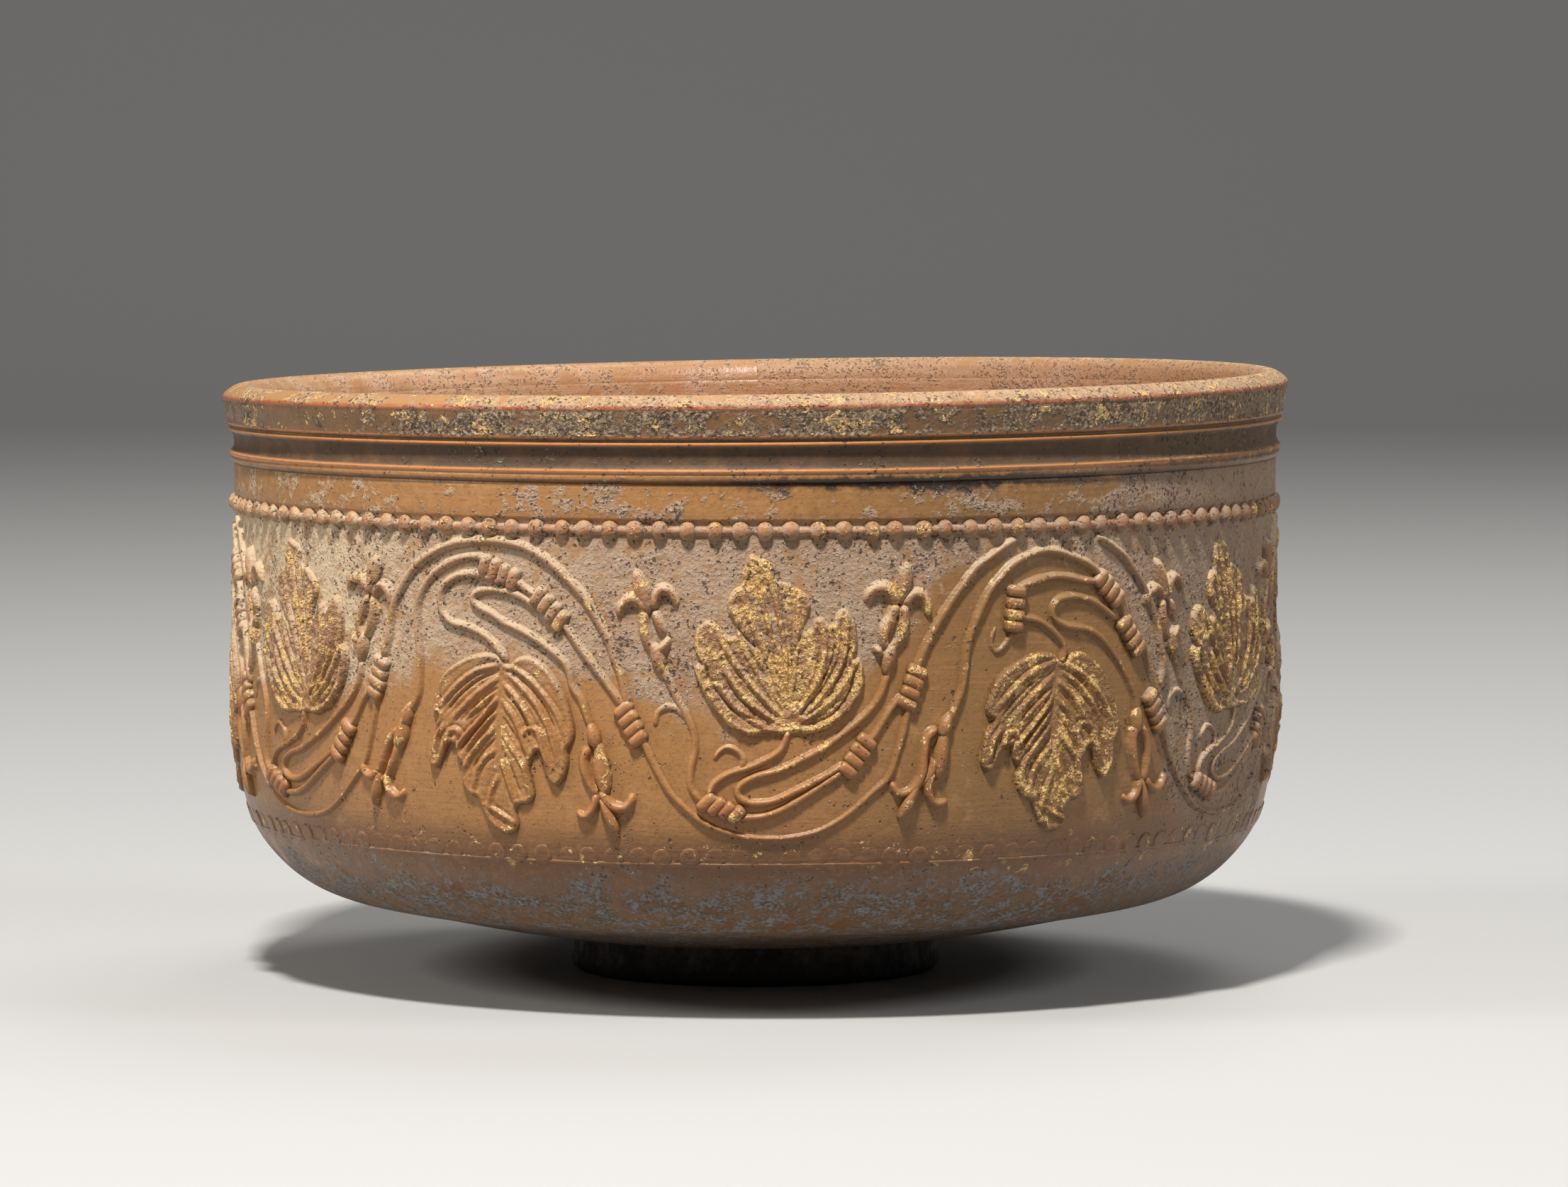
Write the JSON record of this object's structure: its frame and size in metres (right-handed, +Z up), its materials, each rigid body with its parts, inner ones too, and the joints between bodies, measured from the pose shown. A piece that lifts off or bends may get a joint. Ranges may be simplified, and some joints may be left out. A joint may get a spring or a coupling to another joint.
{
  "type": "pottery bowl",
  "caption": "Round moulded pottery bowl on a low foot ring, with a moulded rim, bead rows and a vine scroll of leaves and buds in low relief round the wall.",
  "frame": {"origin": "on the bowl's axis, in the plane that the foot ring stands on", "axes": "+Z up along the axis; -Y faces the viewer of the picture, through a trough of the scroll with an upright leaf"},
  "size_m": [0.1504, 0.1504, 0.085],
  "materials": {
    "floor_slip": "gloss slip under grey and white burial crust",
    "wall_slip": "orange-brown gloss slip, in places under grey and cream burial crust",
    "rim_slip": "gloss slip under grey-brown crust with flecks of gold leaf",
    "foot_clay": "worn slip and grey crust",
    "worn_relief": "slip rubbed reddish on the high points",
    "stem_slip": "orange-brown gloss slip",
    "leaf_slip": "orange-brown gloss slip with a few remains of gold leaf",
    "gilded_relief": "gloss slip with heavy remains of gold leaf"
  },
  "bodies": {
    "root": {"bowl_floor": "floor_slip", "moulded_wall": "wall_slip", "thrown_rim": "rim_slip", "foot_ring": "foot_clay", "upper_bead_row": "worn_relief", "bead_cord": "worn_relief", "lower_bead_row": "worn_relief", "vine_stem": "stem_slip", "branch_stems": "stem_slip", "leaf_stalks": "stem_slip", "stem_ties": "worn_relief", "tendrils": "stem_slip", "upright_leaves": "gilded_relief", "hanging_leaves": "leaf_slip", "upright_buds": "gilded_relief", "hanging_buds": "worn_relief"}
  },
  "joints": []
}
